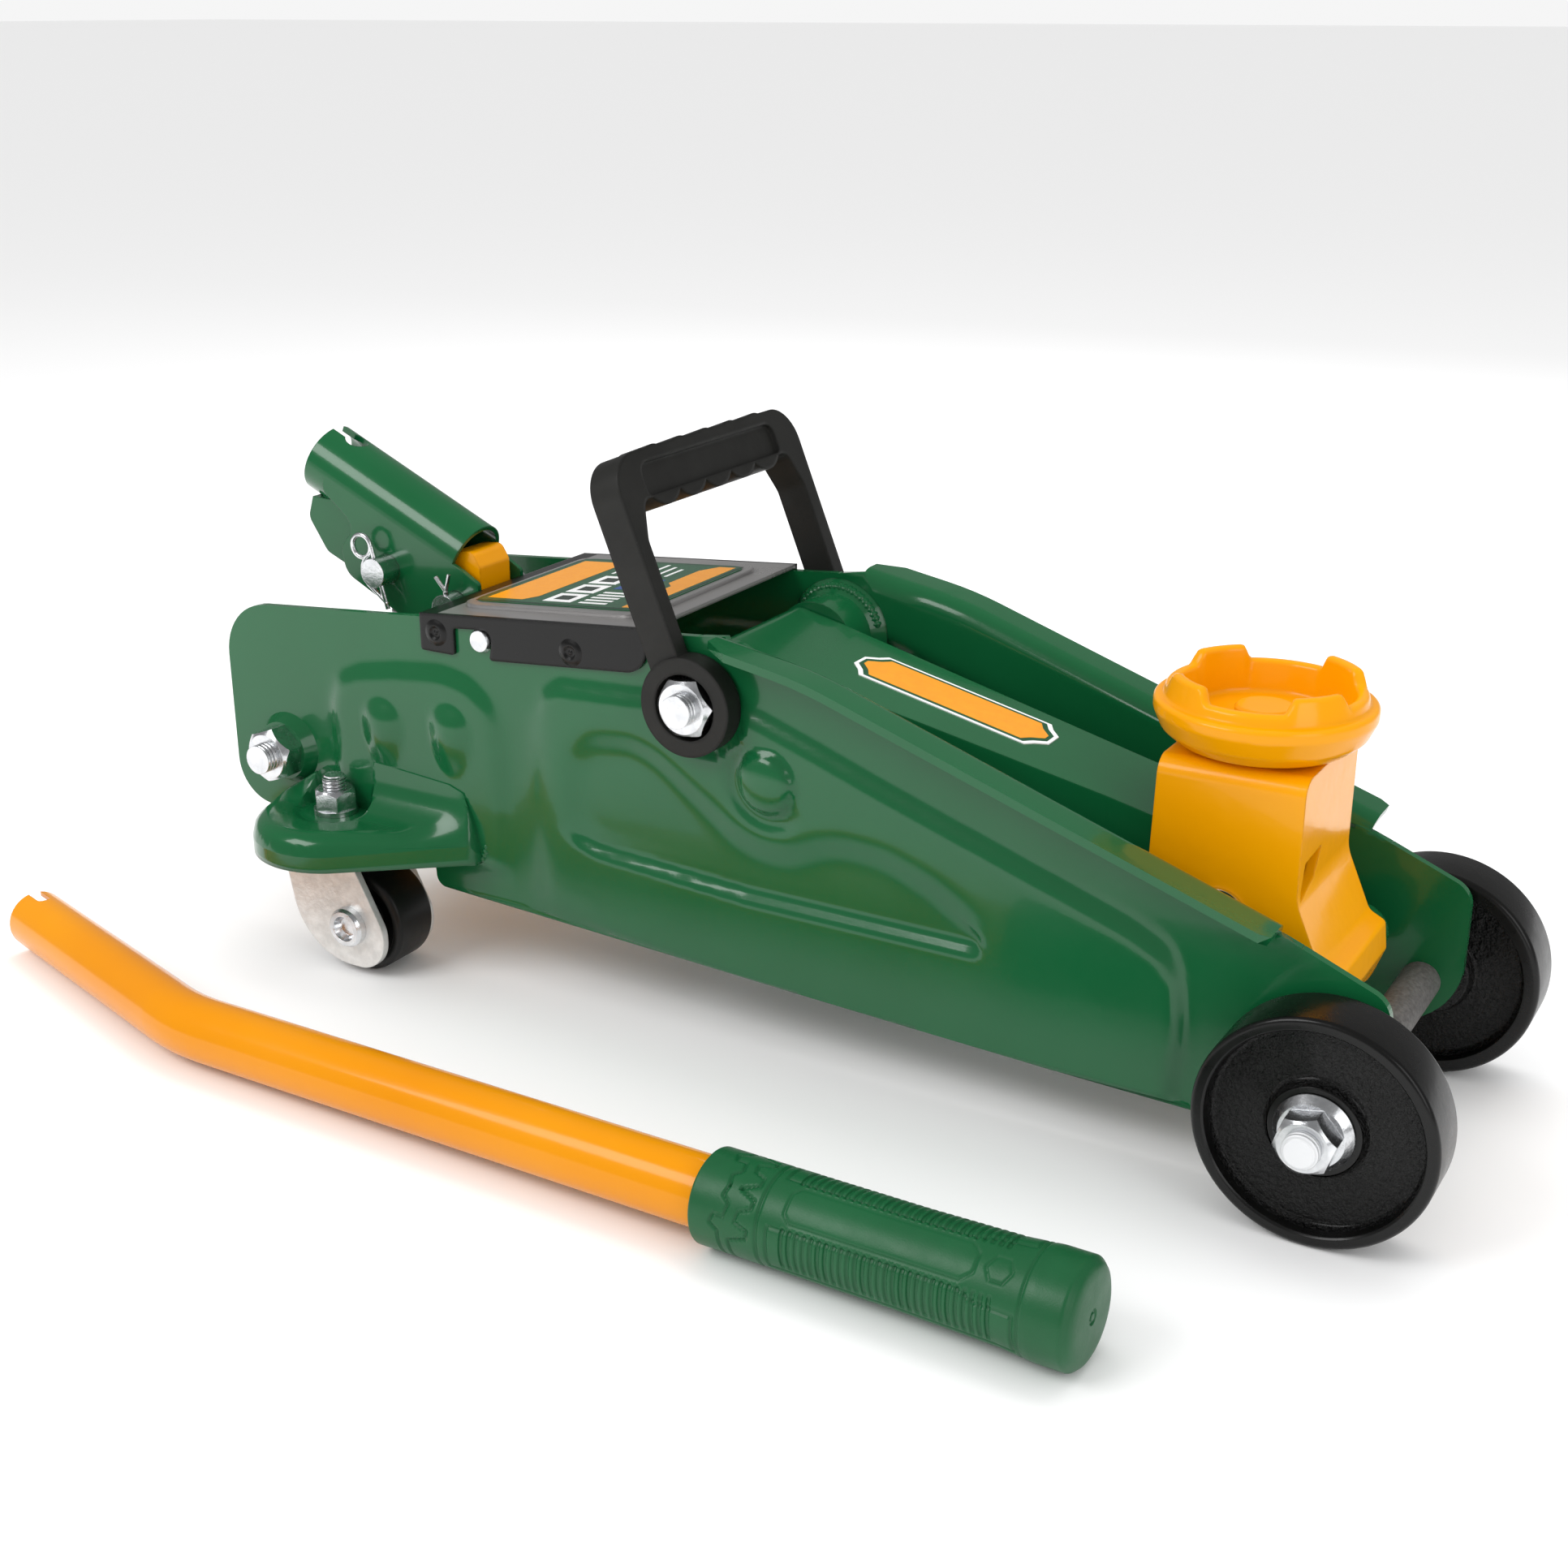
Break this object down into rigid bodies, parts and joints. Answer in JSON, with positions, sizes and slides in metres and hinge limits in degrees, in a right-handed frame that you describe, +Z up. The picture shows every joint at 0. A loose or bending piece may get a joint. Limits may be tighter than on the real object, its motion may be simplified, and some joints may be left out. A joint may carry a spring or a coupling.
{
  "type": "hydraulic floor jack",
  "caption": "Low trolley jack with a lifting arm, turning cup saddle, pump socket, carrying handle, swivel casters and a loose bent pump handle.",
  "frame": {"origin": "bottom centre of the bounding box of the jack and its loose handle, on the floor", "axes": "+X to the front wheels, +Y to the jack's left side, +Z up"},
  "size_m": [0.4716, 0.2388, 0.184],
  "materials": {
    "green_paint": "gloss green powder coat",
    "orange_paint": "gloss orange powder coat",
    "black_paint": "semi-gloss black paint",
    "black_plastic": "matt black moulded plastic",
    "green_rubber": "moulded green grip",
    "wheel_black": "black painted cast wheel",
    "caster_black": "black moulded roller",
    "zinc": "bright zinc plate",
    "steel": "bare machined steel",
    "dark_steel": "black oxide steel",
    "chrome": "ground and plated rod",
    "cover_metal": "semi-gloss grey and black paint",
    "label": "printed label without lettering",
    "seal": "seal"
  },
  "bodies": {
    "chassis": {"side_plate_right": "green_paint", "side_plate_left": "green_paint", "front_axle": "dark_steel", "axle_nuts": "zinc", "caster_bracket_right": "green_paint", "caster_bracket_left": "green_paint", "rear_tie_bolt": "zinc", "frame_nuts": "zinc", "upper_tie_rod": "zinc", "pivot_bosses": "green_paint", "pivot_bolt": "zinc", "link_studs": "green_paint", "top_cover": "cover_metal", "cover_label": "label", "pump_block": "orange_paint", "reservoir_tube": "orange_paint", "reservoir_cap": "orange_paint", "ram_cylinder": "steel", "filler_plug": "seal", "pump_barrel": "zinc", "hinge_pin": "zinc", "hinge_cotter": "zinc", "caster_studs": "zinc", "caster_washers": "zinc", "caster_nuts": "zinc"},
    "lift_arm": {"lift_arm": "green_paint", "arm_label": "label", "arm_pivot_tube": "steel", "ram_roller": "steel"},
    "saddle_bracket": {"saddle_bracket": "orange_paint", "arm_pin": "dark_steel", "link_pin": "dark_steel", "pin_rings": "zinc"},
    "saddle": {"saddle": "orange_paint", "saddle_pin": "orange_paint", "saddle_ring": "dark_steel"},
    "links": {"link_rod_right": "green_paint", "link_rod_left": "green_paint"},
    "ram": {"ram_rod": "chrome", "ram_seal": "seal", "ram_head": "dark_steel", "return_springs": "steel"},
    "plunger": {"pump_plunger": "chrome", "plunger_spring": "steel"},
    "handle_socket": {"handle_socket": "green_paint", "clevis_pin": "zinc", "clevis_clip": "zinc"},
    "release_valve": {"release_valve": "zinc"},
    "carry_handle": {"carry_handle": "black_plastic"},
    "caster_right": {"caster_fork_right": "zinc", "caster_rivet_right": "zinc"},
    "caster_left": {"caster_fork_left": "zinc", "caster_rivet_left": "zinc"},
    "caster_wheel_right": {"caster_wheel_right": "caster_black"},
    "caster_wheel_left": {"caster_wheel_left": "caster_black"},
    "front_wheel_right": {"front_wheel_right": "wheel_black"},
    "front_wheel_left": {"front_wheel_left": "wheel_black"},
    "pump_handle": {"pump_handle_tube": "orange_paint", "pump_handle_grip": "green_rubber"}
  },
  "joints": [
    {"name": "lift_arm_hinge", "type": "hinge", "parent": "chassis", "child": "lift_arm", "pos_m": [0.00276, 0.03837, 0.112], "axis": [0, -1, 0], "range_deg": [0, 75]},
    {"name": "link_hinge", "type": "hinge", "parent": "chassis", "child": "links", "pos_m": [0.02746, 0.03837, 0.091], "axis": [0, -1, 0], "range_deg": [0, 75]},
    {"name": "saddle_bracket_hinge", "type": "hinge", "parent": "lift_arm", "child": "saddle_bracket", "pos_m": [0.16026, 0.03837, 0.07], "axis": [0, -1, 0], "range_deg": [-75, 0]},
    {"name": "saddle_swivel", "type": "hinge", "parent": "saddle_bracket", "child": "saddle", "pos_m": [0.16126, 0.03837, 0.1205], "axis": [0, 0, 1], "continuous": true},
    {"name": "ram_slide", "type": "slide", "parent": "chassis", "child": "ram", "axis": [1, 0, 0], "range_m": [0, 0.0439], "deforming": ["return_springs"]},
    {"name": "handle_socket_hinge", "type": "hinge", "parent": "chassis", "child": "handle_socket", "pos_m": [-0.11524, 0.03837, 0.117], "axis": [0, -1, 0], "range_deg": [0, 35], "stiffness_Nm_per_rad": 0.5, "springref_deg": -28.65},
    {"name": "plunger_slide", "type": "slide", "parent": "chassis", "child": "plunger", "axis": [0, 0, -1], "range_m": [0, 0.0183], "deforming": ["plunger_spring"]},
    {"name": "release_valve_turn", "type": "hinge", "parent": "chassis", "child": "release_valve", "pos_m": [-0.15424, 0.05187, 0.079], "axis": [1, 0, 0], "range_deg": [-180, 0]},
    {"name": "carry_handle_hinge", "type": "hinge", "parent": "chassis", "child": "carry_handle", "pos_m": [0.00276, 0.03837, 0.112], "axis": [0, -1, 0], "range_deg": [-22, 38]},
    {"name": "caster_swivel_right", "type": "hinge", "parent": "chassis", "child": "caster_right", "pos_m": [-0.13824, -0.01463, 0.039], "axis": [0, 0, 1], "continuous": true},
    {"name": "caster_swivel_left", "type": "hinge", "parent": "chassis", "child": "caster_left", "pos_m": [-0.13824, 0.09137, 0.039], "axis": [0, 0, 1], "continuous": true},
    {"name": "caster_roll_right", "type": "hinge", "parent": "caster_right", "child": "caster_wheel_right", "pos_m": [-0.12374, -0.01463, 0.0178], "axis": [0, 1, 0], "continuous": true},
    {"name": "caster_roll_left", "type": "hinge", "parent": "caster_left", "child": "caster_wheel_left", "pos_m": [-0.12374, 0.09137, 0.0178], "axis": [0, 1, 0], "continuous": true},
    {"name": "front_wheel_roll_right", "type": "hinge", "parent": "chassis", "child": "front_wheel_right", "pos_m": [0.20276, -0.01813, 0.033], "axis": [0, 1, 0], "continuous": true},
    {"name": "front_wheel_roll_left", "type": "hinge", "parent": "chassis", "child": "front_wheel_left", "pos_m": [0.20276, 0.09487, 0.033], "axis": [0, 1, 0], "continuous": true},
    {"name": "pump_handle_lift", "type": "slide", "parent": "chassis", "child": "pump_handle", "axis": [0, 0, 1], "range_m": [0, 0.25]}
  ],
  "couplings": [
    {"joint": "link_hinge", "follows": "lift_arm_hinge", "ratio": 1},
    {"joint": "saddle_bracket_hinge", "follows": "lift_arm_hinge", "ratio": -1},
    {"joint": "ram_slide", "follows": "lift_arm_hinge", "m_per_rad": 0.03346},
    {"joint": "plunger_slide", "follows": "handle_socket_hinge", "m_per_rad": 0.0299}
  ]
}
